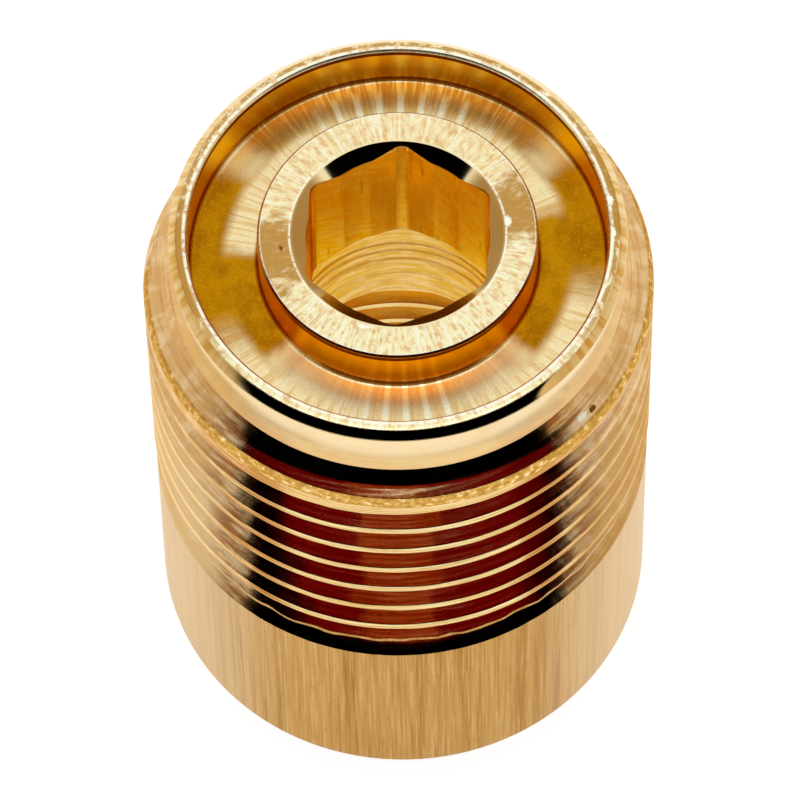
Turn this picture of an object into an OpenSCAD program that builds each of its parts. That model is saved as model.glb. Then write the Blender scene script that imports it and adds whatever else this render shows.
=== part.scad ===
// Thread adapter, turned in one piece from round bar.
// A male thread stands between a plain nose and a plain band. A seal recess is sunk into
// the top round a central boss, the boss holds a six-sided key socket, and a female thread
// is cut into the base. The origin is the centre of the base, and +Z points to the rim.

/* [Body] */
// Height from the base to the rim
overall_h = 29.2; // [28:0.1:40]
// Diameter of the plain band
band_d = 21.7; // [20.5:0.1:26]
// Height of the plain band
band_h = 10.8; // [4:0.1:12]
// Chamfer on the outer edge of the base
base_chamfer = 0.25; // [0.1:0.05:0.8]

/* [Nose] */
// Diameter of the plain nose above the male thread
nose_d = 19.45; // [18.9:0.05:20.5]
// Length of the nose, from the rim to the shoulder under it
nose_l = 2.9; // [2:0.05:4.5]
// Width of the chamfer on the rim's outer edge
rim_chamfer_w = 0.4; // [0.05:0.01:0.45]
// Height of the chamfer on the rim's outer edge
rim_chamfer_h = 0.42; // [0.05:0.01:0.6]

/* [Male thread] */
// Major diameter of the male thread
male_d = 21.8; // [21:0.1:24]
// Male threads to the inch
male_tpi = 14; // [11:1:20]
// Angle between the flanks of the male thread
male_angle = 55; // [50:1:60]
// How far the first crest starts below the major radius
lead_drop = 0.15; // [0.05:0.05:0.4]
// Height of the slope from there up to the major radius
lead_l = 0.5; // [0.2:0.1:0.8]
// Shortest first crest, which takes up what the whole turns leave over
first_crest_min = 0.7; // [0.7:0.1:1]
// Depth of the last groove, where the thread runs out into the band
run_out_depth = 1.05; // [0.5:0.05:1.1]
// How far the crest above the last groove stays below the major radius
run_out_drop = 0.23; // [0.05:0.01:0.4]
// Width of that crest
run_out_crest = 0.4; // [0.1:0.05:0.6]

/* [Seal recess] */
// Diameter of the recess in the top
recess_d = 17.8; // [15:0.1:18.2]
// Depth of the recess below the rim
recess_depth = 2.35; // [1:0.05:5]
// Radius of the corners at the recess floor
recess_fillet = 0.25; // [0.1:0.05:0.6]
// Diameter of the central boss
boss_d = 11.9; // [10.4:0.1:13]
// Edge break on the rim's inner edge and on the edge of the boss
edge_break = 0.1; // [0.05:0.05:0.2]

/* [Key socket] */
// Distance across the flats of the key socket
key_af = 7.65; // [6:0.05:8]
// Diameter to which the six corners of the key socket are rounded
key_corner_d = 8.6; // [8.2:0.05:8.8]
// Turn of the socket's first corner from +Y towards +X, in degrees
key_turn = 3.5; // [0:0.5:60]
// Diameter of the round hole drilled before the six flats are cut
pilot_d = 7.76; // [7.6:0.01:8.1]
// Diameter of the countersunk mouth of the key socket
mouth_d = 9; // [8.9:0.05:9.6]
// Angle of the countersink at the mouth
mouth_angle = 108; // [80:1:130]
// Depth of the key socket below the rim
key_l = 7.8; // [5:0.1:9]
// Diameter of the waist bore under the key socket
waist_d = 9.5; // [9:0.1:11]
// Angle of the cone that closes the waist bore at the key socket
waist_angle = 90; // [80:1:118]

/* [Female thread] */
// Major diameter of the female thread
female_d = 18; // [13:0.5:18.5]
// Pitch of the female thread
female_pitch = 1.5; // [1:0.25:2]
// Length of the female thread from the base
female_l = 10.5; // [6:0.5:12]
// Depth of the bore that holds the female thread
female_bore_l = 15.5; // [13:0.1:17]
// Width of the chamfer at the mouth of the female thread, beyond the major radius
female_chamfer = 0.2; // [0.1:0.05:0.4]

/* [Hidden] */
$fn = 96;
brass = [0.80, 0.59, 0.29];
over = 1; // how far a cut runs past the face that it opens

band_r = band_d / 2;
nose_r = nose_d / 2;

male_r = male_d / 2;
male_pitch = 25.4 / male_tpi;
male_slope = tan(male_angle / 2); // rise of a flank for each unit of radius
male_flat = male_pitch / 6; // width of the flat crests and roots
male_root_r = male_r - (male_pitch / 2 - male_flat) / male_slope;
shoulder_z = overall_h - nose_l;
shoulder_end_z = shoulder_z - (male_r - lead_drop - nose_r) * male_slope;
vee_z = band_h + run_out_depth * male_slope;
run_out_low_z = vee_z + (run_out_depth - run_out_drop) * male_slope;
run_out_high_z = run_out_low_z + run_out_crest;
last_groove_z = run_out_high_z - run_out_drop * male_slope + (male_pitch - male_flat) / 2;
groove_room = shoulder_end_z - first_crest_min - last_groove_z - (male_pitch - male_flat) / 2;
groove_count = 1 + floor(groove_room / male_pitch);

recess_z = overall_h - recess_depth;

female_r = female_d / 2;
female_flat = female_pitch / 8; // width of the flat roots of the female thread
female_depth = female_pitch * 5 / 16 * sqrt(3); // 60 degree flanks, crests a quarter pitch wide
female_minor_r = female_r - female_depth;
female_groove_w = female_flat + 2 * female_depth * tan(30);
female_count = floor((female_l - female_groove_w / 2) / female_pitch);

waist_z = overall_h - key_l;

// One groove of the male thread in section, from its top edge to its bottom edge
function male_groove(z) = [
    [male_r, z + (male_pitch - male_flat) / 2],
    [male_root_r, z + male_flat / 2],
    [male_root_r, z - male_flat / 2],
    [male_r, z - (male_pitch - male_flat) / 2]
];

// Points of a quarter arc round [x, z] from angle a, turning anticlockwise
function quarter_arc(x, z, r, a) = [for (i = [0 : 4]) [x + r * cos(a + i * 22.5), z + r * sin(a + i * 22.5)]];

// Solid bar with the band, the male thread and the nose turned on it
module turned_bar() {
    grooves = [for (i = [groove_count - 1 : -1 : 0], p = male_groove(last_groove_z + i * male_pitch)) p];
    // the last groove's lower edge lies on the run-out crest, not on the major radius
    thread = [for (i = [0 : len(grooves) - 2]) grooves[i]];
    rotate_extrude() polygon(concat(
        [[0, overall_h], [nose_r - rim_chamfer_w, overall_h], [nose_r, overall_h - rim_chamfer_h],
         [nose_r, shoulder_z], [male_r - lead_drop, shoulder_end_z], [male_r, shoulder_end_z - lead_l]],
        thread,
        [[male_r - run_out_drop, run_out_high_z], [male_r - run_out_drop, run_out_low_z],
         [male_r - run_out_depth, vee_z], [band_r, band_h + (male_r - band_r) * male_slope],
         [band_r, base_chamfer], [band_r - base_chamfer, 0], [0, 0]]
    ));
}

// Ring that is cut away round the boss, which stays level with the rim
module seal_recess() {
    f = recess_fillet;
    boss_r = boss_d / 2;
    wall_r = recess_d / 2;
    rotate_extrude() polygon(concat(
        [[wall_r, overall_h - edge_break], [wall_r + edge_break + over, overall_h + over],
         [boss_r - edge_break - over, overall_h + over], [boss_r, overall_h - edge_break]],
        quarter_arc(boss_r + f, recess_z + f, f, 180),
        quarter_arc(wall_r - f, recess_z + f, f, 270)
    ));
}

// Six-sided key socket on its drilled pilot hole, with its countersink
module key_socket() {
    rotate([0, 0, 30 - key_turn]) intersection() {
        translate([0, 0, waist_z]) cylinder(d = key_af / cos(30), h = key_l + over, $fn = 6);
        translate([0, 0, waist_z]) cylinder(d = key_corner_d, h = key_l + over);
    }
    translate([0, 0, waist_z]) cylinder(d = pilot_d, h = key_l + over);
    rotate_extrude() polygon([
        [0, overall_h - mouth_d / 2 / tan(mouth_angle / 2)],
        [mouth_d / 2, overall_h],
        [mouth_d / 2, overall_h + over],
        [0, overall_h + over]
    ]);
}

// Plain bore that joins the key socket to the female thread
module waist_bore() {
    rotate_extrude() polygon([
        [0, female_bore_l - over],
        [waist_d / 2, female_bore_l - over],
        [waist_d / 2, waist_z],
        [0, waist_z + waist_d / 2 / tan(waist_angle / 2)]
    ]);
}

// Bore in the base with the rings of the female thread
module female_bore() {
    grooves = [
        for (i = [0 : female_count - 1])
            let (z = female_pitch / 2 + i * female_pitch)
                each [
                    [female_minor_r, z - female_groove_w / 2],
                    [female_r, z - female_flat / 2],
                    [female_r, z + female_flat / 2],
                    [female_minor_r, z + female_groove_w / 2]
                ]
    ];
    rotate_extrude() polygon(concat(
        [[0, -over], [female_minor_r, -over]],
        grooves,
        [[female_minor_r, female_bore_l], [0, female_bore_l]]
    ));
    mouth_r = female_r + female_chamfer;
    rotate_extrude() polygon([[0, -over], [mouth_r + over, -over], [0, mouth_r]]);
}

module adapter_body() {
    color(brass) difference() {
        turned_bar();
        seal_recess();
        key_socket();
        waist_bore();
        female_bore();
    }
}

adapter_body();
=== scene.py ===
import math
import bmesh
import bpy
from mathutils import Matrix, Vector, noise


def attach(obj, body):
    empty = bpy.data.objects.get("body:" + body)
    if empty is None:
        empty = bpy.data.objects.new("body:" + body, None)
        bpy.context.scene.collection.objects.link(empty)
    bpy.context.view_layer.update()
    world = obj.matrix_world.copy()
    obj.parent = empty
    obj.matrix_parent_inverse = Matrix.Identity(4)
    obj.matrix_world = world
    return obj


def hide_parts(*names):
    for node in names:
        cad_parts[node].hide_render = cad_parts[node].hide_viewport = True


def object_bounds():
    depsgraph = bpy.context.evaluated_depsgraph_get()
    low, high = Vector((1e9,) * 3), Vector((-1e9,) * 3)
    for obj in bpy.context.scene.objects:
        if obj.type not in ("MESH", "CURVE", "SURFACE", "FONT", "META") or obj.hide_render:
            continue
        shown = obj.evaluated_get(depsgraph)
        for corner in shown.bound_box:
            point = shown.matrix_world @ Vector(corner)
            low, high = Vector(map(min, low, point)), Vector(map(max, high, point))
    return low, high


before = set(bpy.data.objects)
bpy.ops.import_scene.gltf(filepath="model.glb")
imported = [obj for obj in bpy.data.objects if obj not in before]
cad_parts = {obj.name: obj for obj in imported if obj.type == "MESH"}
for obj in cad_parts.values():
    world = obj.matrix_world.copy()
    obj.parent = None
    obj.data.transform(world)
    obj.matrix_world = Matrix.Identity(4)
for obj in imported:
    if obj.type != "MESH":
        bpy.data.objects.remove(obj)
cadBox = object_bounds()

# The adapter is modelled in millimetres with its base at 0 and scaled to metres last.
# Angles round the axis start at the front, -Y, and turn towards +X.
millimetre = 0.001
turnSteps = 240  # steps of a full turn, for the blank and every cut
top = (cadBox[1].z - cadBox[0].z) / millimetre
majorRadius = (cadBox[1].x - cadBox[0].x) / 2 / millimetre


def aroundAxis(angle, radius, z):
    return Vector((radius * math.sin(angle), -radius * math.cos(angle), z))


def arcPoints(r, z, radius, start, end, segments=4):
    angles = [math.radians(start + (end - start) * i / segments) for i in range(segments + 1)]
    return [(r + radius * math.cos(a), z + radius * math.sin(a)) for a in angles]


def rampUp(value, start, end):
    t = min(max((value - start) / (end - start), 0), 1)
    return t * t * (3 - 2 * t)


def wobble(angle, waves, seed):  # smooth noise round the axis, about -1 to 1
    return noise.noise(Vector((math.sin(angle) * waves, math.cos(angle) * waves, seed)))


# The turned blank

nose = {
    "radius": 9.725, "length": 2.905, "rimInner": 9.0, "landOuter": 9.39, "landFall": 0.04,
    "chamferOuter": 9.69, "chamferDrop": 0.37, "footOuter": 10.145, "footDrop": 0.42,
    "slopeOuter": 10.725, "slope": math.tan(math.radians(27.5)), "leadDrop": 0.54,
}
band = {"radius": 10.85, "top": 12.1, "chamfer": 0.22, "baseInner": 9.2}
recess = {"wall": 8.9, "boss": 5.95, "depth": 2.35, "fillet": 0.25, "edgeBreak": 0.1}
socket = {
    "acrossFlats": 7.65, "turn": 3.5, "cornerRound": 0.34, "pilot": 3.88,
    "mouth": 4.5, "mouthAngle": 54, "depth": 7.8,
}
waist = {"radius": 4.75, "rings": (15.9, 16.5, 17.3, 18.6, 19.3, 19.9), "ringDepth": 0.025, "ringWidth": 0.3}
femaleThread = {
    "minor": 8.188, "major": 9.0, "pitch": 1.5, "frontZ": 0.33, "start": -0.9, "end": 10.4, "boreEnd": 15.545,
}
maleThread = {
    "pitch": 25.4 / 14, "slope": math.tan(math.radians(27.5)), "crest": 0.4, "crestRound": 0.1,
    "rootRadius": 9.739, "lastGrooveZ": 12.795, "lastGrooveShift": 0.26,
    "fadeLow": (100, 175), "fadeHigh": (2402, 2442), "brokenFrom": (2345, 2372), "brokenBy": 0.5,
}
runOut = {"root": 9.85, "crest": 10.67, "frontZ": 11.335, "reach": 0.47, "fade": (115, 168)}


def noseOutline():
    shoulder = top - nose["length"]
    footZ = shoulder - nose["footDrop"]
    slopeZ = footZ - (nose["slopeOuter"] - nose["footOuter"]) * nose["slope"]
    land = nose["landOuter"]
    landZ = top - nose["landFall"]
    chamferR = nose["chamferOuter"]
    chamferZ = top - nose["chamferDrop"]
    r = nose["radius"]
    outline = [(nose["rimInner"], top), (9.2, top - 0.005), (land - 0.04, landZ + 0.01)]
    outline += [(land + 0.01, landZ - 0.02), (land + 0.1, landZ - 0.115), (land + 0.2, landZ - 0.215)]
    outline += [(chamferR - 0.01, chamferZ)]
    outline += [(r - 0.008, chamferZ - 0.04), (r, chamferZ - 0.12)]
    outline += [(r, top - drop) for drop in (0.9, 1.5, 2.1)] + [(r, shoulder + 0.05), (r + 0.012, shoulder)]
    outline += [(nose["footOuter"] - 0.02, footZ + 0.02), (nose["footOuter"] + 0.005, footZ - 0.005)]
    outline += [(10.4, footZ - 0.255 * nose["slope"]), (nose["slopeOuter"], slopeZ)]
    outline += [(10.79, slopeZ - 0.08), (10.84, slopeZ - 0.2), (10.88, slopeZ - 0.36)]
    outline += [(majorRadius, slopeZ - nose["leadDrop"])]
    return outline


def bandOutline():
    r = band["radius"]
    chamfer = band["chamfer"]
    base = band["baseInner"]
    outline = [(majorRadius, band["top"] + 0.8), (majorRadius, band["top"] + 0.4), (r, band["top"])]
    outline += [(r, z) for z in (11.4, 10.6, 9.5, 8, 6.5, 5, 3.5, 2, 1)]
    outline += arcPoints(r - chamfer, chamfer, chamfer, 0, -90)
    outline += [(base + 0.7, 0), (base + 0.05, 0), (base - 0.04, 0.04)]
    return outline


def boreOutline():
    minor = femaleThread["minor"]
    end = femaleThread["boreEnd"]
    r = waist["radius"]
    mouth = band["baseInner"] - minor
    coneZ = top - socket["depth"]
    outline = [(minor + 0.5, mouth - 0.5), (minor, mouth)] + [(minor, z) for z in (4, 7, 10, 12.5)]
    outline += arcPoints(minor - 0.2, end - 0.2, 0.2, 0, 90, 3)
    outline += [(r + 1.6, end), (r + 0.06, end), (r, end + 0.06)]
    for z in waist["rings"]:
        half = waist["ringWidth"] / 2
        outline += [(r, z - half), (r + waist["ringDepth"], z), (r, z + half)]
    outline += [(r, coneZ - 0.03), (r - 0.03, coneZ + 0.03)]
    return outline


def socketOutline():
    pilot = socket["pilot"]
    mouth = socket["mouth"]
    coneZ = top - socket["depth"] + waist["radius"] - pilot
    mouthZ = top - (mouth - pilot) / math.tan(math.radians(socket["mouthAngle"]))
    outline = [(pilot + 0.02, coneZ - 0.02), (pilot, coneZ + 0.02)]
    outline += [(pilot, coneZ + rise) for rise in (1.5, 3, 4.5)]
    outline += [(pilot, mouthZ - 0.02), (pilot + 0.02, mouthZ + 0.015)]
    outline += [(mouth - 0.02, top - 0.015), (mouth + 0.05, top)]
    return outline


def recessOutline():
    boss = recess["boss"]
    wall = recess["wall"]
    edge = recess["edgeBreak"]
    fillet = recess["fillet"]
    floor = top - recess["depth"]
    outline = [(r, top) for r in (4.8, 5.1, 5.4, boss - edge)]
    outline += [(boss - 0.015, top - edge + 0.015), (boss, top - edge - 0.02), (boss, top - 1.2)]
    outline += arcPoints(boss + fillet, floor + fillet, fillet, 180, 270)
    outline += [(boss + fillet + out, floor) for out in (0.6, 1.2, 1.8)]
    outline += arcPoints(wall - fillet, floor + fillet, fillet, 270, 360)
    outline += [(wall, top - 1.2), (wall, top - edge - 0.02), (wall + 0.015, top - edge + 0.015)]
    return outline


def turnedBlank():
    outline = noseOutline() + bandOutline() + boreOutline() + socketOutline() + recessOutline()
    form = bmesh.new()
    points = [form.verts.new(aroundAxis(0, r, z)) for r, z in outline]
    edges = [form.edges.new((points[i - 1], points[i])) for i in range(len(points))]
    bmesh.ops.spin(form, geom=points + edges, cent=(0, 0, 0), axis=(0, 0, 1), angle=math.tau,
                   steps=turnSteps, use_merge=True)
    bmesh.ops.recalc_face_normals(form, faces=form.faces)
    return form


# Cuts

def helicalCutter(section, pitch, frontZ, startTurn, endTurn):  # a section point is (radius, offset in z)
    cutter = bmesh.new()
    start = int(startTurn * turnSteps)
    steps = int(endTurn * turnSteps) - start
    rise = pitch / turnSteps
    startAngle = start * math.tau / turnSteps
    points = [cutter.verts.new(aroundAxis(startAngle, r, frontZ + rise * start + dz)) for r, dz in section]
    face = cutter.faces.new(points)
    bmesh.ops.spin(cutter, geom=[face] + list(face.edges) + points, cent=(0, 0, 0), axis=(0, 0, 1),
                   dvec=(0, 0, rise), angle=steps * math.tau / turnSteps, steps=steps)
    bmesh.ops.recalc_face_normals(cutter, faces=cutter.faces)
    return cutter


def unrolled(point, pitch, frontZ):  # degrees along the helix, radius, offset from the groove's middle
    angle = math.atan2(point.co.x, -point.co.y)
    turns = round((point.co.z - frontZ) / pitch - angle / math.tau)
    angle += turns * math.tau
    offset = point.co.z - frontZ - pitch * angle / math.tau
    return math.degrees(angle), math.hypot(point.co.x, point.co.y), offset


def maleGrooveCutter():
    v = maleThread
    outerHalf = (v["pitch"] - v["crest"]) / 2
    rootHalf = outerHalf - (majorRadius - v["rootRadius"]) * v["slope"]
    tangent = v["crestRound"] * math.tan(math.radians(62.5 / 2))
    upper = [(v["rootRadius"], rootHalf * 0.5), (v["rootRadius"] + 0.03, rootHalf)]
    for turn in (62.5, 40, 18):
        radial = v["crestRound"] * (1 - math.cos(math.radians(turn)))
        drop = v["crestRound"] * math.sin(math.radians(turn))
        upper.append((majorRadius - radial, outerHalf + tangent - drop))
    upper += [(majorRadius + 0.02, outerHalf + tangent + 0.05)]
    upper += [(majorRadius + 0.25, outerHalf + tangent + 0.07)]
    section = upper + [(r, -dz) for r, dz in reversed(upper)]
    cutter = helicalCutter(section, v["pitch"], v["lastGrooveZ"], -0.5, v["fadeHigh"][1] / 360 + 0.02)
    for point in cutter.verts:
        turn, radius, dz = unrolled(point, v["pitch"], v["lastGrooveZ"])
        angle = math.radians(turn)
        z = point.co.z
        if dz < 0:
            z -= v["lastGrooveShift"] * (1 - rampUp(turn, 100, 170))
        else:  # the thin start of the first crest is broken off
            z += v["brokenBy"] * rampUp(turn, *v["brokenFrom"])
        if radius > majorRadius - 0.2:  # the crests' edges are a little uneven
            z += 0.03 * wobble(angle, 9, turn / 40 + dz) + 0.016 * wobble(angle, 40, turn / 40 - dz)
        lift = 1.5 * rampUp(-turn, *v["fadeLow"]) + 1.5 * rampUp(turn, *v["fadeHigh"])
        point.co = aroundAxis(angle, radius + lift, z)
    return cutter


def runOutCutter():
    v = runOut
    slope = maleThread["slope"]
    section = [(v["root"], 0.01), (v["crest"], (v["crest"] - v["root"]) * slope), (v["crest"], 0.85)]
    section += [(11.2, 0.85), (11.2, -0.66), (10.88, -0.56)]
    section += [(10.82, (v["root"] - 10.82) * slope), (v["root"], -0.01)]
    cutter = helicalCutter(section, maleThread["pitch"], v["frontZ"], -v["reach"], v["reach"])
    for point in cutter.verts:
        turn, radius, dz = unrolled(point, maleThread["pitch"], v["frontZ"])
        angle = math.radians(turn)
        z = point.co.z
        if dz > 0.1:  # the thin crest over the last groove is bent and burred
            z += 0.1 * wobble(angle, 7, 3) + 0.05 * wobble(angle, 30, 5)
            if radius < v["crest"] + 0.01:
                radius += -0.05 + 0.12 * wobble(angle, 12, 9)
        elif radius > v["root"] + 0.1:
            z += 0.03 * wobble(angle, 25, 11)
        point.co = aroundAxis(angle, radius + 1.4 * rampUp(abs(turn), *v["fade"]), z)
    return cutter


def femaleGrooveCutter():
    v = femaleThread
    flat = v["pitch"] / 16
    inner = flat + (v["major"] - v["minor"]) * math.tan(math.radians(30))
    upper = [(v["major"], flat), (v["minor"] + 0.05, inner - 0.03), (v["minor"] - 0.02, inner + 0.04),
             (v["minor"] - 0.3, inner + 0.06)]
    section = upper + [(r, -dz) for r, dz in reversed(upper)]
    endTurn = (v["end"] - v["frontZ"]) / v["pitch"]
    cutter = helicalCutter(section, v["pitch"], v["frontZ"], (v["start"] - v["frontZ"]) / v["pitch"], endTurn)
    for point in cutter.verts:
        turn, radius, dz = unrolled(point, v["pitch"], v["frontZ"])
        radius -= 1.2 * rampUp(turn, endTurn * 360 - 110, endTurn * 360 - 10)
        point.co = aroundAxis(math.radians(turn), radius, point.co.z)
    return cutter


def keyCutter():
    cutter = bmesh.new()
    turn = Matrix.Rotation(math.radians(-socket["turn"]), 4, "Z")
    place = Matrix.Translation((0, 0, top - socket["depth"] + 0.12))
    radius = socket["acrossFlats"] / 2 / math.cos(math.pi / 6)
    bmesh.ops.create_circle(cutter, cap_ends=True, segments=6, radius=radius, matrix=place @ turn)
    bmesh.ops.bevel(cutter, geom=cutter.verts[:], offset=socket["cornerRound"], segments=3, profile=0.5,
                    affect="VERTICES", material=-1)
    risen = bmesh.ops.extrude_face_region(cutter, geom=cutter.faces[:])
    bmesh.ops.translate(cutter, verts=[g for g in risen["geom"] if isinstance(g, bmesh.types.BMVert)],
                        vec=(0, 0, socket["depth"] + 1))
    bmesh.ops.recalc_face_normals(cutter, faces=cutter.faces)
    return cutter


def newObject(name, form):
    mesh = bpy.data.meshes.new(name)
    form.to_mesh(mesh)
    form.free()
    piece = bpy.data.objects.new(name, mesh)
    bpy.context.scene.collection.objects.link(piece)
    return piece


def cutAway(piece, cutter):
    cut = piece.modifiers.new("cut", "BOOLEAN")
    cut.operation = "DIFFERENCE"
    cut.solver = "EXACT"
    cut.object = cutter
    depsgraph = bpy.context.evaluated_depsgraph_get()
    result = bpy.data.meshes.new_from_object(piece.evaluated_get(depsgraph))
    piece.modifiers.remove(cut)
    piece.data = result
    bpy.data.objects.remove(cutter)


zones = ("faced", "recess", "nose", "thread", "band", "socket", "bore")
sharpFrom = 23  # degrees between two faces


def zoneOf(face):
    centre = face.calc_center_median()
    r = math.hypot(centre.x, centre.y)
    z = centre.z
    turn = math.atan2(centre.x, -centre.y) / math.tau
    if turn < -runOut["fade"][1] / 360 + 0.06:  # behind, before the last groove starts
        turn += 1
    helix = maleThread["pitch"] * turn
    if r < waist["radius"] + 0.3 and z > femaleThread["boreEnd"] and z < top - 0.002:
        return "socket"
    if r < band["baseInner"] and z < top - recess["depth"] - 1:
        return "bore"
    if z > top - 0.06:
        return "faced"
    if r < nose["rimInner"] + 0.01:
        return "recess"
    if z > top - nose["length"] - 0.002:
        return "nose"
    if z < band["top"] + helix + 0.2 and r > band["radius"] - 0.4 and abs(face.normal.z) < 0.2 or z < 9:
        return "band"
    return "thread"


def threadedAdapter():
    adapter = newObject("thread_adapter", turnedBlank())
    for cutter in (maleGrooveCutter(), runOutCutter(), femaleGrooveCutter(), keyCutter()):
        cutAway(adapter, newObject("cutter", cutter))
    form = bmesh.new()
    form.from_mesh(adapter.data)
    bmesh.ops.remove_doubles(form, verts=form.verts, dist=0.0008)
    bmesh.ops.dissolve_degenerate(form, edges=form.edges, dist=0.0008)
    bmesh.ops.recalc_face_normals(form, faces=form.faces)
    for edge in form.edges:
        edge.smooth = not (edge.is_manifold and edge.calc_face_angle() > math.radians(sharpFrom))
    for face in form.faces:
        face.smooth = True
        face.material_index = zones.index(zoneOf(face))
    print("adapter: %d faces, %d open edges, %.0f cubic mm" % (
        len(form.faces), sum(not edge.is_manifold for edge in form.edges), form.calc_volume()))
    bmesh.ops.scale(form, verts=form.verts, vec=(millimetre,) * 3)
    form.to_mesh(adapter.data)
    form.free()
    adapter.data.name = "thread_adapter"
    shading = adapter.modifiers.new("flat faces stay flat", "WEIGHTED_NORMAL")
    shading.mode = "FACE_AREA_WITH_ANGLE"
    shading.keep_sharp = True
    return adapter


# Materials

# Across and Along are the direction from the axis. Colours laid on by them or by Angle stand for
# light from the front, so they stay on the part when it is turned or lit from elsewhere.

def addNode(tree, kind, values=None, **settings):  # a value is a constant or a socket to link from
    node = tree.nodes.new(kind)
    for name, setting in settings.items():
        setattr(node, name, setting)
    for key, value in (values or {}).items():
        if isinstance(value, bpy.types.NodeSocket):
            tree.links.new(value, node.inputs[key])
        else:
            node.inputs[key].default_value = value
    return node


def calculate(tree, operation, *values):
    return addNode(tree, "ShaderNodeMath", dict(enumerate(values)), operation=operation).outputs[0]


def stretch(tree, value, fromLow, fromHigh, toLow=0, toHigh=1):
    node = addNode(tree, "ShaderNodeMapRange", {0: value, 1: fromLow, 2: fromHigh, 3: toLow, 4: toHigh})
    node.interpolation_type = "SMOOTHSTEP"
    return node.outputs[0]


def between(tree, value, low, high, soft):  # 1 inside the range, 0 outside
    rise = stretch(tree, value, low - soft, low + soft)
    fall = stretch(tree, value, high - soft, high + soft, 1, 0)
    return calculate(tree, "MULTIPLY", rise, fall)


def opaque(colour):  # a written colour gets its alpha, and a socket stays as it is
    return (*colour, 1) if isinstance(colour, tuple) else colour


def blend(tree, amount, first, second):  # mixes two colours
    values = {0: amount, 6: opaque(first), 7: opaque(second)}
    return addNode(tree, "ShaderNodeMix", values, data_type="RGBA").outputs[2]


def weigh(tree, amount, first, second):  # the same for plain numbers
    return addNode(tree, "ShaderNodeMix", {0: amount, 2: first, 3: second}, data_type="FLOAT").outputs[0]


def newGroup(name, inputs, outputs):
    group = bpy.data.node_groups.new(name, "ShaderNodeTree")
    for label, value in inputs.items():
        group.interface.new_socket(label, in_out="INPUT", socket_type="NodeSocketFloat").default_value = value
    for label in outputs:
        group.interface.new_socket(label, in_out="OUTPUT", socket_type="NodeSocketFloat")
    return group, group.nodes.new("NodeGroupInput"), group.nodes.new("NodeGroupOutput")


def placeGroup():  # radius and height in mm, angle in degrees, and the direction from the axis
    group, _, result = newGroup("place on the turning", {}, ("Radius", "Height", "Angle", "Across", "Along"))
    coords = addNode(group, "ShaderNodeTexCoord")
    scaling = {"Vector": coords.outputs["Object"], "Scale": (1 / millimetre,) * 3}
    inMillimetres = addNode(group, "ShaderNodeMapping", scaling)
    parts = addNode(group, "ShaderNodeSeparateXYZ", {0: inMillimetres.outputs[0]})
    x, y, z = parts.outputs
    squares = calculate(group, "ADD", calculate(group, "MULTIPLY", x, x), calculate(group, "MULTIPLY", y, y))
    radius = calculate(group, "MAXIMUM", calculate(group, "SQRT", squares), 0.001)
    front = calculate(group, "MULTIPLY", y, -1.0)
    angle = calculate(group, "DEGREES", calculate(group, "ARCTAN2", x, front))
    across = calculate(group, "DIVIDE", x, radius)
    along = calculate(group, "DIVIDE", y, radius)
    places = {"Radius": radius, "Height": z, "Angle": angle, "Across": across, "Along": along}
    for label, value in places.items():
        group.links.new(value, result.inputs[label])
    return group


def marksGroup(placement):  # noise stretched round the axis, along it or outwards
    wanted = {"Round": 10, "Up": 1, "Out": 1, "Seed": 0, "Twist": 0}
    group, given, result = newGroup("tool marks", wanted, ("Value",))
    place = addNode(group, "ShaderNodeGroup", node_tree=placement)
    radius, height, angle, across, along = (place.outputs[i] for i in range(5))
    x = calculate(group, "MULTIPLY", across, given.outputs["Round"])
    y = calculate(group, "MULTIPLY", along, given.outputs["Round"])
    level = calculate(group, "SUBTRACT", height, calculate(group, "MULTIPLY", angle, given.outputs["Twist"]))
    z = calculate(group, "MULTIPLY_ADD", level, given.outputs["Up"], given.outputs["Seed"])
    z = calculate(group, "MULTIPLY_ADD", radius, given.outputs["Out"], z)
    vector = addNode(group, "ShaderNodeCombineXYZ", {0: x, 1: y, 2: z})
    settings = {"Vector": vector.outputs[0], "Scale": 1.0, "Detail": 4.0, "Roughness": 0.6}
    texture = addNode(group, "ShaderNodeTexNoise", settings)
    group.links.new(texture.outputs[0], result.inputs["Value"])
    return group


placement = placeGroup()
marks = marksGroup(placement)


def placeNode(tree):
    node = addNode(tree, "ShaderNodeGroup", node_tree=placement)
    return {name: node.outputs[name] for name in ("Radius", "Height", "Angle", "Across", "Along")}


def markNode(tree, around, up, out, seed, twist=0.0):
    values = {"Round": around, "Up": up, "Out": out, "Seed": seed, "Twist": twist}
    return addNode(tree, "ShaderNodeGroup", values, node_tree=marks).outputs[0]


def newBrass(name):
    material = bpy.data.materials.new(name)
    material.use_nodes = True
    shader = material.node_tree.nodes["Principled BSDF"]
    shader.inputs["Metallic"].default_value = 1
    return material, material.node_tree, shader


def finish(tree, shader, colour, roughness, height=None, depth=0.01):  # depth in mm
    tree.links.new(colour, shader.inputs["Base Color"])
    tree.links.new(roughness, shader.inputs["Roughness"])
    if height is not None:
        relief = {"Height": height, "Strength": 1.0, "Distance": depth * millimetre}
        bump = addNode(tree, "ShaderNodeBump", relief)
        tree.links.new(bump.outputs[0], shader.inputs["Normal"])


palette = {
    "straw": (0.93, 0.88, 0.55), "cream": (0.92, 0.76, 0.42), "pale": (0.86, 0.66, 0.32),
    "pink": (0.76, 0.48, 0.21), "gold": (0.72, 0.42, 0.10), "tan": (0.50, 0.26, 0.05),
    "brown": (0.22, 0.075, 0.004), "red": (0.12, 0.012, 0.002), "edge": (1.0, 0.98, 0.80),
}


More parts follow.
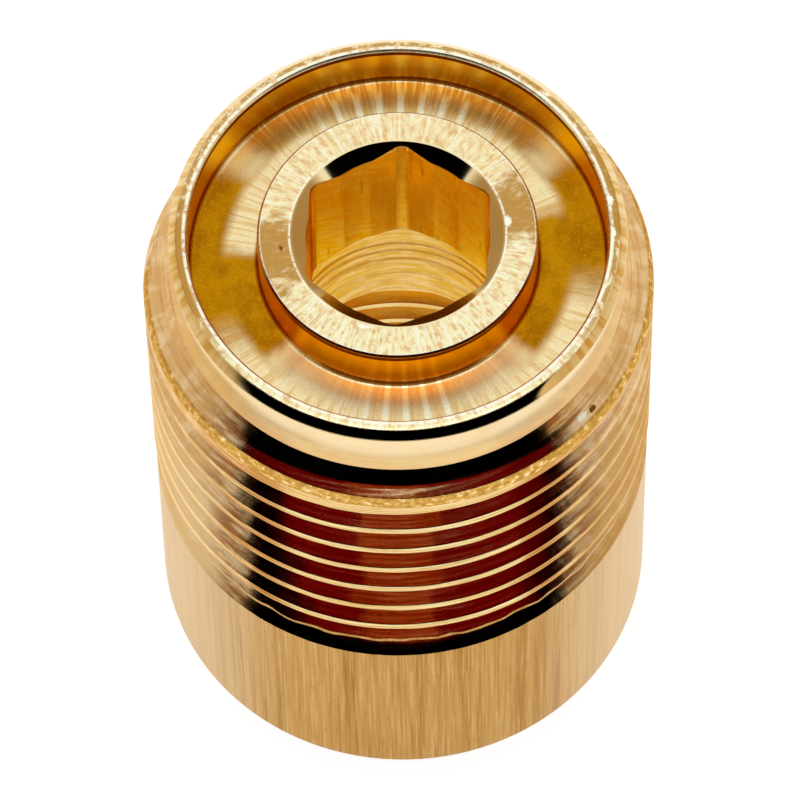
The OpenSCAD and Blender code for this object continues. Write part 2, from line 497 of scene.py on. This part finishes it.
def spot(tree, place, uneven, angle, radius, wide, deep):  # a small mark at one place, wide in degrees
    x = calculate(tree, "DIVIDE", calculate(tree, "SUBTRACT", place["Angle"], angle), wide)
    y = calculate(tree, "DIVIDE", calculate(tree, "SUBTRACT", place["Radius"], radius), deep)
    away = calculate(tree, "ADD", calculate(tree, "MULTIPLY", x, x), calculate(tree, "MULTIPLY", y, y))
    away = calculate(tree, "MULTIPLY_ADD", uneven, 4.0, away)
    return stretch(tree, away, 3.2, 2.6)


def facedBrass():  # boss top and rim, with painted reflections: tan patches at the left and right, a dark line at the boss's front edge
    look = {
        "left": (-99, -62), "right": (86, 118), "landDark": (9.15, 9.36), "edgeWidth": 0.13,
        "nicks": ((96, 4.68, 3.4, 0.16), (-19, 4.7, 3.0, 0.1), (89, 9.12, 1.4, 0.1), (99, 9.14, 1.6, 0.12),
                  (76, 9.05, 1.2, 0.08)),
        "brownSpot": (-83, 4.97, 1.6, 0.09),
    }
    material, tree, shader = newBrass("faced brass")
    place = placeNode(tree)
    patch = markNode(tree, 26.0, 1.0, 2.6, 2.0)
    wide = markNode(tree, 9.0, 1.0, 1.2, 7.0)
    ray = markNode(tree, 46.0, 1.0, 0.5, 5.0)
    grain = markNode(tree, 120.0, 1.0, 12.0, 8.0)
    colour = blend(tree, stretch(tree, patch, 0.3, 0.54), palette["pink"], palette["cream"])
    # painted sheen: a little more straw towards the front
    frontness = calculate(tree, "MULTIPLY_ADD", place["Along"], -0.05, patch)
    colour = blend(tree, stretch(tree, frontness, 0.46, 0.62), colour, palette["straw"])
    colour = blend(tree, stretch(tree, ray, 0.54, 0.62, 0, 0.6), colour, palette["edge"])
    colour = blend(tree, stretch(tree, ray, 0.44, 0.36, 0, 0.35), colour, palette["gold"])
    colour = blend(tree, stretch(tree, grain, 0.44, 0.32, 0, 0.35), colour, palette["gold"])
    # painted reflection: tan patches at the left and right, with wavering edges
    wavering = calculate(tree, "MULTIPLY_ADD", calculate(tree, "SUBTRACT", wide, 0.5), 40.0, place["Angle"])
    aside = calculate(tree, "MAXIMUM", between(tree, wavering, *look["left"], 5),
                      between(tree, wavering, *look["right"], 5))
    aside = calculate(tree, "MULTIPLY", aside, stretch(tree, patch, 0.3, 0.5, 0.55, 0.95))
    colour = blend(tree, aside, colour, palette["tan"])
    rough = markNode(tree, 20.0, 1.0, 4.0, 15.0)
    landDark = between(tree, place["Radius"], *look["landDark"], 0.03)
    landDark = calculate(tree, "MULTIPLY", landDark, stretch(tree, rough, 0.42, 0.5, 0, 0.85))
    landDark = calculate(tree, "MULTIPLY", landDark, stretch(tree, place["Along"], -0.75, -0.4))
    colour = blend(tree, landDark, colour, palette["tan"])
    # painted highlights: bright lines at the rim's and the boss's edges, and at the hole's edge at the left
    # and right
    atRim = between(tree, place["Radius"], 8.8, nose["rimInner"] + look["edgeWidth"], 0.03)
    atBoss = between(tree, place["Radius"], recess["boss"] - look["edgeWidth"], recess["boss"], 0.03)
    edges = calculate(tree, "MAXIMUM", atRim, atBoss)
    hole = between(tree, place["Radius"], 4.3, socket["mouth"] + look["edgeWidth"], 0.04)
    hole = calculate(tree, "MULTIPLY", hole,
                     stretch(tree, calculate(tree, "ABSOLUTE", place["Across"]), 0.45, 0.75))
    bright = calculate(tree, "MULTIPLY", calculate(tree, "MAXIMUM", edges, hole),
                       stretch(tree, patch, 0.4, 0.5, 0.2, 0.9))
    colour = blend(tree, bright, colour, palette["edge"])
    # painted reflection: a dark red line on the boss's edge break in front
    onBreak = between(tree, place["Radius"], recess["boss"] - 0.1, recess["boss"] + 0.1, 0.012)
    onBreak = calculate(tree, "MULTIPLY", onBreak, stretch(tree, place["Along"], -0.1, -0.45))
    colour = blend(tree, onBreak, colour, palette["red"])
    for angle, radius, wide, deep in look["nicks"]:
        colour = blend(tree, spot(tree, place, grain, angle, radius, wide, deep), colour, palette["edge"])
    # a small brown spot on the boss top
    colour = blend(tree, spot(tree, place, grain, *look["brownSpot"]), colour, palette["brown"])
    finish(tree, shader, colour, stretch(tree, patch, 0.3, 0.7, 0.34, 0.2), patch, 0.004)
    return material


def recessBrass():  # floor with a pale fan of painted highlight before and behind the boss, amber sides of painted reflection, and walls
    look = {
        "ripples": 53, "rippled": (-13, 19), "amber": (0.52, 0.225, 0.001), "darkAmber": (0.38, 0.15, 0.001),
        "fleck": (0.66, 0.36, 0.02), "outerBack": (0.50, 0.28, 0.075), "ray": (1.0, 0.90, 0.56),
        "ripple": (1.0, 0.95, 0.66), "wall": (1.0, 0.56, 0.03), "paleWall": (1.0, 0.68, 0.10),
        "bossWall": (1.0, 0.42, 0.02), "line": (0.34, 0.11), "tint": (1.0, 0.7, 0.3, 1),
    }
    material, tree, shader = newBrass("recess brass")
    place = placeNode(tree)
    ray = markNode(tree, 34.0, 0.0, 0.2, 1.0)
    fine = markNode(tree, 80.0, 0.0, 0.5, 11.0)
    cloud = markNode(tree, 5.0, 0.5, 0.9, 5.0)
    grain = markNode(tree, 90.0, 6.0, 8.0, 6.0)
    turn = calculate(tree, "ABSOLUTE", place["Angle"])
    turn = calculate(tree, "MULTIPLY_ADD", calculate(tree, "SUBTRACT", cloud, 0.5), 7.0, turn)
    outer = stretch(tree, calculate(tree, "MULTIPLY_ADD", cloud, 0.2, place["Radius"]), 7.2, 7.8)
    shyRight = stretch(tree, place["Across"], 0.2, 0.6, 0, 14)
    reachRight = stretch(tree, place["Across"], 0.3, 0.8, 0, 16)
    # painted highlight: a pale fan of the radial tool marks before and behind the boss
    front = weigh(tree, outer, stretch(tree, turn, 51, 37),
                  stretch(tree, calculate(tree, "SUBTRACT", turn, reachRight), 73, 52))
    back = weigh(tree, outer, stretch(tree, calculate(tree, "SUBTRACT", turn, shyRight), 90, 99),
                 stretch(tree, turn, 124, 150, 0, 0.8))
    fan = calculate(tree, "MAXIMUM", front, back)
    # painted reflection: amber sides, with flecks of grain
    sides = blend(tree, stretch(tree, cloud, 0.36, 0.64), look["amber"], look["darkAmber"])
    sides = blend(tree, stretch(tree, grain, 0.5, 0.7, 0, 0.4), sides, look["fleck"])
    inFront = stretch(tree, turn, 90, 70)
    near = calculate(tree, "SUBTRACT", 1.0, outer)
    # painted reflections inside the fan: pinker near the boss in front, where the boss is mirrored, and
    # darker tan at the outer back
    base = blend(tree, calculate(tree, "MULTIPLY", inFront, near), palette["cream"], palette["pink"])
    outerBack = calculate(tree, "MULTIPLY", outer, stretch(tree, turn, 110, 130))
    base = blend(tree, outerBack, base, look["outerBack"])
    rays = blend(tree, stretch(tree, ray, 0.5, 0.42, 0, 0.6), base, palette["gold"])
    rays = blend(tree, stretch(tree, fine, 0.5, 0.62, 0, 0.45), rays, palette["straw"])
    # painted highlights: bright rays in the middle of the front and of the back
    middle = calculate(tree, "MAXIMUM", stretch(tree, turn, 30, 14), stretch(tree, turn, 150, 166))
    middle = calculate(tree, "MULTIPLY", middle, stretch(tree, ray, 0.5, 0.56, 0, 0.7))
    rays = blend(tree, middle, rays, look["ray"])
    # ripple marks, painted bright only at the front and at the back, where they catch the light
    ripple = calculate(tree, "MULTIPLY", place["Angle"], math.radians(look["ripples"]))
    ripple = calculate(tree, "SINE", ripple)
    window = calculate(tree, "MAXIMUM", between(tree, place["Angle"], *look["rippled"], 4),
                       stretch(tree, turn, 150, 160))
    ripple = calculate(tree, "MULTIPLY", calculate(tree, "MULTIPLY", stretch(tree, ripple, 0.2, 0.9), window),
                       stretch(tree, place["Radius"], 8.5, 8.0))
    # painted highlights: straw near the rim and near the boss in front, and gold under the ripples
    rimward = calculate(tree, "MULTIPLY", stretch(tree, place["Radius"], 7.9, 8.6),
                        stretch(tree, turn, 75, 40))
    rays = blend(tree, rimward, rays, palette["straw"])
    bossward = calculate(tree, "MULTIPLY", near, stretch(tree, turn, 75, 40, 0, 0.5))
    rays = blend(tree, bossward, rays, palette["straw"])
    gaps = calculate(tree, "MULTIPLY", window, stretch(tree, place["Radius"], 8.5, 8.0, 0, 0.4))
    rays = blend(tree, gaps, rays, palette["gold"])
    rays = blend(tree, ripple, rays, look["ripple"])
    rays = blend(tree, stretch(tree, grain, 0.46, 0.34, 0, 0.35), rays, palette["gold"])
    colour = blend(tree, fan, sides, rays)
    # painted highlight: cream wedges at the ends of the fan
    wedge = calculate(tree, "MAXIMUM", calculate(tree, "MULTIPLY", between(tree, turn, 44, 51, 3), near),
                      calculate(tree, "MULTIPLY", between(tree, turn, 122, 133, 4), outer))
    colour = blend(tree, calculate(tree, "MULTIPLY", wedge, 0.75), colour, palette["cream"])
    floorLevel = top - recess["depth"]
    # painted shade: a brown line at the foot of the walls, darkest at the ends of the fan
    foot = between(tree, place["Height"], floorLevel + 0.05, floorLevel + 0.22, 0.04)
    ends = calculate(tree, "MAXIMUM", calculate(tree, "MULTIPLY", near, stretch(tree, turn, 42, 26)),
                     calculate(tree, "MULTIPLY", outer, stretch(tree, turn, 132, 150)))
    foot = calculate(tree, "MULTIPLY", foot, stretch(tree, ends, 0, 1, 0.15, 0.9))
    colour = blend(tree, foot, colour, palette["brown"])
    onWall = stretch(tree, place["Height"], floorLevel + 0.16, floorLevel + 0.36)
    wall = blend(tree, stretch(tree, cloud, 0.4, 0.6), look["wall"], look["paleWall"])
    # painted reflections on the walls: the boss wall deeper orange in front, and a red line under the top
    # edge, behind on the rim wall and in front on the boss wall
    behind = calculate(tree, "MULTIPLY", outer, stretch(tree, place["Along"], 0.1, 0.4))
    before = calculate(tree, "MULTIPLY", near, stretch(tree, place["Along"], -0.5, -0.7))
    line = between(tree, place["Height"], top - look["line"][0], top - look["line"][1], 0.03)
    line = calculate(tree, "MULTIPLY", line, calculate(tree, "MAXIMUM", behind, before))
    onBoss = calculate(tree, "MULTIPLY", near, stretch(tree, place["Along"], -0.1, -0.6))
    wall = blend(tree, onBoss, wall, look["bossWall"])
    wall = blend(tree, line, wall, palette["red"])
    colour = blend(tree, onWall, colour, wall)
    relief = calculate(tree, "MULTIPLY", ray, calculate(tree, "SUBTRACT", 1.0, onWall))
    roughness = weigh(tree, onWall, stretch(tree, grain, 0.3, 0.7, 0.36, 0.26), 0.26)
    finish(tree, shader, colour, roughness, relief, 0.004)
    shader.inputs["Specular Tint"].default_value = look["tint"]
    return material


def noseBrass():  # plain nose and its chamfer, duller at the left and right, where painted reflections change the colour
    look = {
        "chamferLow": 0.42, "chamferHigh": 0.36, "deep": (0.90, 0.67, 0.34), "light": (0.95, 0.73, 0.39),
        "left": (0.78, 0.50, 0.14), "wallMetallic": 0.35,
    }
    material, tree, shader = newBrass("nose brass")
    place = placeNode(tree)
    ring = markNode(tree, 2.0, 9.0, 0.0, 2.0)
    cloud = markNode(tree, 5.0, 0.3, 0.0, 6.0)
    colour = blend(tree, stretch(tree, ring, 0.4, 0.6), look["deep"], look["light"])
    colour = blend(tree, stretch(tree, cloud, 0.5, 0.7, 0, 0.2), colour, palette["gold"])
    # painted reflection: darker gold at the left
    colour = blend(tree, stretch(tree, place["Across"], -0.5, -0.8, 0, 0.6), colour, look["left"])
    onChamfer = stretch(tree, place["Height"], top - look["chamferLow"], top - look["chamferHigh"])
    rough = markNode(tree, 30.0, 3.0, 3.0, 4.0)
    # painted reflection: the chamfer gold and pale at the left and right, which are also rougher
    aside = stretch(tree, calculate(tree, "ABSOLUTE", place["Across"]), 0.62, 0.8)
    side = blend(tree, stretch(tree, rough, 0.4, 0.58), palette["gold"], palette["pale"])
    colour = blend(tree, calculate(tree, "MULTIPLY", aside, onChamfer), colour, side)
    roughness = weigh(tree, onChamfer, stretch(tree, ring, 0.3, 0.7, 0.1, 0.2), weigh(tree, aside, 0.05, 0.3))
    finish(tree, shader, colour, roughness)
    tree.links.new(weigh(tree, onChamfer, look["wallMetallic"], 1.0), shader.inputs["Metallic"])
    return material


def threadBrass():  # polished at the front and behind, duller at the left and right, where painted reflections make it paler and streaked
    look = {
        "lead": (25.02, 25.62), "paintedBrownBand": (0.47, 0.62), "streaked": (0.5, 0.76), "side": (0.56, 0.78),
        "chip": (47.2, 10.42, 1.5, 0.12), "dent": (50.5, 10.5, 1.0, 0.16), "low": (23, 17),
        "line": (0.66, 0.38, 0.12), "sideDeep": (0.80, 0.52, 0.23), "sideLight": (0.93, 0.70, 0.42),
        "sideLine": (0.62, 0.36, 0.11), "lowRight": (0.70, 0.42, 0.13), "lowLeft": (1.0, 0.78, 0.45),
        "paintedReflectionBrown": (0.50, 0.20, 0.05), "streak": (0.42, 0.14, 0.03), "tint": (1.0, 0.78, 0.5, 1),
    }
    material, tree, shader = newBrass("thread brass")
    place = placeNode(tree)
    twist = maleThread["pitch"] / 360
    lines = markNode(tree, 3.0, 14.0, 0.0, 4.0, twist)
    flecks = markNode(tree, 70.0, 9.0, 0.0, 9.0, twist)
    patch = markNode(tree, 14.0, 1.2, 0.0, 2.0, twist)
    burr = markNode(tree, 34.0, 5.0, 0.0, 6.0)
    colour = blend(tree, stretch(tree, lines, 0.38, 0.62), look["line"], palette["cream"])
    colour = blend(tree, stretch(tree, flecks, 0.5, 0.7, 0, 0.5), colour, palette["cream"])
    # painted reflection: the left and right paler, with fainter lines
    across = calculate(tree, "MULTIPLY_ADD", calculate(tree, "SUBTRACT", patch, 0.5), 0.15,
                       calculate(tree, "ABSOLUTE", place["Across"]))
    aside = stretch(tree, across, *look["side"])
    side = blend(tree, stretch(tree, patch, 0.42, 0.6), look["sideDeep"], look["sideLight"])
    side = blend(tree, stretch(tree, lines, 0.5, 0.36, 0, 0.6), side, look["sideLine"])
    # painted reflection: darker gold low at the right, paler low at the left
    low = stretch(tree, place["Height"], *look["low"])
    lowRight = calculate(tree, "MULTIPLY", stretch(tree, place["Across"], 0.5, 0.85, 0, 0.6), low)
    side = blend(tree, lowRight, side, look["lowRight"])
    lowLeft = calculate(tree, "MULTIPLY", stretch(tree, place["Across"], -0.5, -0.85, 0, 0.8), low)
    side = blend(tree, lowLeft, side, look["lowLeft"])
    colour = blend(tree, calculate(tree, "MULTIPLY", aside, 0.9), colour, side)
    streaky = markNode(tree, 5.0, 7.0, 0.0, 21.0, twist)
    # painted reflection: a brown band between the front and the sides
    paintedBrownBand = between(tree, across, *look["paintedBrownBand"], 0.06)
    colour = blend(tree, calculate(tree, "MULTIPLY", paintedBrownBand, 0.75), colour, look["paintedReflectionBrown"])
    # painted reflection: dark streaks at the left and right
    streaked = between(tree, calculate(tree, "ABSOLUTE", place["Across"]), *look["streaked"], 0.07)
    streaked = calculate(tree, "MULTIPLY", streaked, stretch(tree, streaky, 0.45, 0.6, 0, 0.85))
    colour = blend(tree, streaked, colour, look["streak"])
    marked = stretch(tree, place["Height"], look["lead"][1], look["lead"][1] + 0.04)
    chip = calculate(tree, "MULTIPLY", marked, spot(tree, place, flecks, *look["chip"]))
    dent = calculate(tree, "MULTIPLY", marked, spot(tree, place, flecks, *look["dent"]))
    colour = blend(tree, chip, colour, palette["edge"])
    colour = blend(tree, dent, colour, palette["brown"])
    onLead = between(tree, place["Height"], *look["lead"], 0.04)
    onLead = calculate(tree, "MULTIPLY", onLead, stretch(tree, place["Radius"], 10.6, 10.72))
    burred = blend(tree, stretch(tree, burr, 0.4, 0.58), palette["tan"], palette["gold"])
    burred = blend(tree, stretch(tree, burr, 0.56, 0.66), burred, palette["cream"])
    colour = blend(tree, onLead, colour, burred)
    smooth = weigh(tree, aside, stretch(tree, lines, 0.3, 0.7, 0.05, 0.1), 0.45)
    finish(tree, shader, colour, smooth, burr, 0.002)
    shader.inputs["Specular Tint"].default_value = look["tint"]
    return material


def bandBrass():  # plain band and the base, brushed along the axis, with a painted sheen that makes it paler at the left and right
    look = {
        "deep": (0.38, 0.175, 0.03), "light": (0.54, 0.30, 0.085), "pale": (0.72, 0.50, 0.22),
        "dark": (0.36, 0.17, 0.03), "side": (0.75, 0.58, 0.38), "tint": (1.0, 0.85, 0.65, 1),
    }
    material, tree, shader = newBrass("band brass")
    place = placeNode(tree)
    streak = markNode(tree, 30.0, 0.05, 0.0, 3.0)
    fine = markNode(tree, 110.0, 0.2, 0.0, 7.0)
    speck = markNode(tree, 60.0, 2.0, 0.0, 12.0)
    colour = blend(tree, stretch(tree, streak, 0.3, 0.56), look["deep"], look["light"])
    colour = blend(tree, stretch(tree, fine, 0.5, 0.64, 0, 0.5), colour, look["pale"])
    colour = blend(tree, stretch(tree, fine, 0.46, 0.36, 0, 0.4), colour, look["dark"])
    colour = blend(tree, stretch(tree, speck, 0.56, 0.7, 0, 0.35), colour, look["dark"])
    # painted sheen: paler at the left and right
    aside = stretch(tree, calculate(tree, "ABSOLUTE", place["Across"]), 0.45, 0.95, 0, 0.9)
    colour = blend(tree, aside, colour, look["side"])
    finish(tree, shader, colour, stretch(tree, streak, 0.3, 0.7, 0.4, 0.3), fine, 0.002)
    shader.inputs["Specular Tint"].default_value = look["tint"]
    return material


def socketBrass():  # countersink with painted reflections, duller at the sides, broached flats, and the waist bore under them
    look = {
        "line": 0.06, "flat": (1.0, 0.58, 0.03), "paleFlat": (1.0, 0.70, 0.12), "bore": (0.86, 0.54, 0.12),
        "paleBore": (0.97, 0.74, 0.32), "mouthSide": (0.52, 0.33, 0.11), "tint": (1.0, 0.65, 0.2, 1),
    }
    material, tree, shader = newBrass("socket brass")
    place = placeNode(tree)
    streak = markNode(tree, 14.0, 0.5, 0.0, 3.0)
    broach = markNode(tree, 4.0, 5.0, 0.0, 13.0, 0.03)
    ring = markNode(tree, 3.0, 4.0, 0.0, 5.0)
    flats = blend(tree, stretch(tree, broach, 0.38, 0.6), look["flat"], look["paleFlat"])
    flats = blend(tree, stretch(tree, streak, 0.6, 0.7, 0, 0.3), flats, palette["brown"])
    bore = blend(tree, stretch(tree, ring, 0.42, 0.6), look["bore"], look["paleBore"])
    foot = top - socket["depth"]
    inBore = stretch(tree, place["Height"], foot + 0.75, foot + 0.5)
    colour = blend(tree, inBore, flats, bore)
    mouthLevel = top - (socket["mouth"] - socket["pilot"]) / math.tan(math.radians(socket["mouthAngle"]))
    onMouth = stretch(tree, place["Height"], mouthLevel - 0.04, mouthLevel + 0.04)
    # painted reflection: the countersink darker at the left and right, which are also rougher
    aside = stretch(tree, calculate(tree, "ABSOLUTE", place["Across"]), 0.72, 0.84)
    mouth = blend(tree, aside, palette["cream"], look["mouthSide"])
    # painted reflection and highlight: a brown line and a bright line at the countersink's lower edge, in
    # front
    inFront = stretch(tree, place["Along"], -0.2, -0.6)
    for i, name in enumerate(("brown", "edge")):
        inner = socket["pilot"] + i * look["line"]
        onLine = between(tree, place["Radius"], inner, inner + look["line"], 0.03)
        mouth = blend(tree, calculate(tree, "MULTIPLY", onLine, inFront), mouth, palette[name])
    colour = blend(tree, onMouth, colour, mouth)
    mouthRoughness = weigh(tree, aside, 0.07, 0.35)
    roughness = weigh(tree, onMouth, stretch(tree, streak, 0.3, 0.7, 0.16, 0.26), mouthRoughness)
    finish(tree, shader, colour, roughness)
    shader.inputs["Specular Tint"].default_value = look["tint"]
    return material


def boreBrass():  # female thread and the bore round it
    look = {"deep": (0.92, 0.56, 0.12), "light": (1.0, 0.76, 0.32)}
    material, tree, shader = newBrass("bore brass")
    ring = markNode(tree, 3.0, 4.0, 0.0, 3.0)
    colour = blend(tree, stretch(tree, ring, 0.4, 0.6), look["deep"], look["light"])
    finish(tree, shader, colour, stretch(tree, ring, 0.3, 0.7, 0.2, 0.3))
    return material


adapter = threadedAdapter()
for maker in (facedBrass, recessBrass, noseBrass, threadBrass, bandBrass, socketBrass, boreBrass):
    adapter.data.materials.append(maker())
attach(adapter, "root")
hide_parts("adapter_body")
print("materials made")


# Stage

# A dome round the front and sides that only reflections show. In front it is black over a white foot,
# then maroon with a red stripe, and brighter than the studio on top. Low at the sides it is tinted.
backdrop = {
    "radius": 0.5, "wing": 150, "low": 3, "high": 84, "rows": 16, "columns": 60,
    "rightEdge": (44, 0.6), "leftEdge": (65, 0.18), "darkFrom": 13, "maroonFrom": 54, "darkTo": 63.4,
    "stripe": (-24, 8), "stripeColour": (0.25, 0.028, 0.003), "maroon": (0.135, 0.0, 0.0),
    "wingHigh": 38, "wingFade": (122, 148), "wingColour": (0.75, 0.60, 0.40), "aboveColour": (1.8, 1.8, 1.8),
    "black": (0.0, 0.0, 0.0), "white": (1.0, 1.0, 1.0),
}


def backdropMaterial():
    v = backdrop
    material = bpy.data.materials.new("dark backdrop")
    material.use_nodes = True
    tree = material.node_tree
    shader = tree.nodes["Principled BSDF"]
    shader.inputs["Base Color"].default_value = (0, 0, 0, 1)
    shader.inputs["Specular IOR Level"].default_value = 0
    place = placeNode(tree)
    elevation = calculate(tree, "DEGREES", calculate(tree, "ARCTAN2", place["Height"], place["Radius"]))
    onMaroon = stretch(tree, elevation, v["maroonFrom"] - 1, v["maroonFrom"] + 1)
    stripe = calculate(tree, "MULTIPLY", between(tree, place["Angle"], *v["stripe"], 1.2), onMaroon)
    dark = blend(tree, onMaroon, v["black"], v["maroon"])
    dark = blend(tree, stripe, dark, v["stripeColour"])
    overWing = stretch(tree, elevation, v["wingHigh"] - 2, v["wingHigh"] + 2)
    beside = blend(tree, overWing, v["wingColour"], v["white"])
    wingEnd = stretch(tree, calculate(tree, "ABSOLUTE", place["Angle"]), *v["wingFade"])
    beside = blend(tree, wingEnd, beside, v["white"])
    right = calculate(tree, "SUBTRACT", place["Angle"], v["rightEdge"][0])
    right = calculate(tree, "MULTIPLY_ADD", elevation, -v["rightEdge"][1], right)
    left = calculate(tree, "SUBTRACT", -v["leftEdge"][0], place["Angle"])
    left = calculate(tree, "MULTIPLY_ADD", elevation, -v["leftEdge"][1], left)
    outside = calculate(tree, "MAXIMUM", stretch(tree, right, -2, 2), stretch(tree, left, -2, 2))
    below = stretch(tree, elevation, v["darkFrom"] + 1, v["darkFrom"] - 1)
    above = stretch(tree, elevation, v["darkTo"] - 0.6, v["darkTo"] + 0.6)
    colour = blend(tree, below, dark, v["white"])
    colour = blend(tree, above, colour, v["aboveColour"])
    colour = blend(tree, outside, colour, beside)
    tree.links.new(colour, shader.inputs["Emission Color"])
    shader.inputs["Emission Strength"].default_value = 1
    return material


def darkBackdrop():
    v = backdrop
    form = bmesh.new()
    start = -math.radians(v["wing"])
    low = math.radians(v["low"])
    high = math.radians(v["high"])
    points = []
    for i in range(v["rows"] + 1):
        tilt = low + (high - low) * i / v["rows"]
        place = aroundAxis(start, v["radius"] * math.cos(tilt), v["radius"] * math.sin(tilt))
        points.append(form.verts.new(place))
    edges = [form.edges.new((points[i], points[i + 1])) for i in range(v["rows"])]
    bmesh.ops.spin(form, geom=points + edges, cent=(0, 0, 0), axis=(0, 0, 1), angle=-2 * start,
                   steps=v["columns"])
    piece = newObject("dark_backdrop", form)
    piece.data.materials.append(backdropMaterial())
    for kind in ("visible_camera", "visible_diffuse", "visible_shadow"):
        setattr(piece, kind, False)


studioFloor = {"size": 1.5, "base": (0.3, 0.3, 0.3, 1), "roughness": 0.9, "glow": 0.8}


def floorSheet():
    form = bmesh.new()
    bmesh.ops.create_grid(form, x_segments=1, y_segments=1, size=studioFloor["size"])
    piece = newObject("floor", form)
    material = bpy.data.materials.new("white floor")
    material.use_nodes = True
    shader = material.node_tree.nodes["Principled BSDF"]
    shader.inputs["Base Color"].default_value = studioFloor["base"]
    shader.inputs["Roughness"].default_value = studioFloor["roughness"]
    shader.inputs["Specular IOR Level"].default_value = 0
    shader.inputs["Emission Color"].default_value = (1, 1, 1, 1)
    shader.inputs["Emission Strength"].default_value = studioFloor["glow"]
    piece.data.materials.append(material)


def studioLight():
    world = bpy.data.worlds.new("studio")
    bpy.context.scene.world = world
    world.use_nodes = True
    world.node_tree.nodes["Background"].inputs["Color"].default_value = (1, 1, 1, 1)
    world.node_tree.nodes["Background"].inputs["Strength"].default_value = 1.0


camera = {
    "elevation": 62.147, "distance": 350.26, "focalPixels": 7980.46, "pictureWidth": 800, "roll": 1.1,
    "aimX": -0.035, "aimZ": 14.123, "sensor": 36,
}


def addCamera():
    v = camera
    tilt = math.radians(v["elevation"])
    forward = Vector((0, math.cos(tilt), -math.sin(tilt)))
    place = Vector((v["aimX"], 0, v["aimZ"])) - v["distance"] * forward
    eye = bpy.data.objects.new("camera", bpy.data.cameras.new("camera"))
    bpy.context.scene.collection.objects.link(eye)
    upright = Matrix.Rotation(math.pi / 2 - tilt, 4, "X")
    rolled = Matrix.Rotation(math.radians(-v["roll"]), 4, "Z")
    eye.matrix_world = Matrix.Translation(place * millimetre) @ upright @ rolled
    eye.data.sensor_width = v["sensor"]
    eye.data.lens = v["sensor"] * v["focalPixels"] / v["pictureWidth"]
    eye.data.clip_start = 0.01
    eye.data.clip_end = 10
    bpy.context.scene.camera = eye


floorSheet()
darkBackdrop()
studioLight()
addCamera()
bpy.context.scene.view_settings.view_transform = "Standard"
print("stage set")
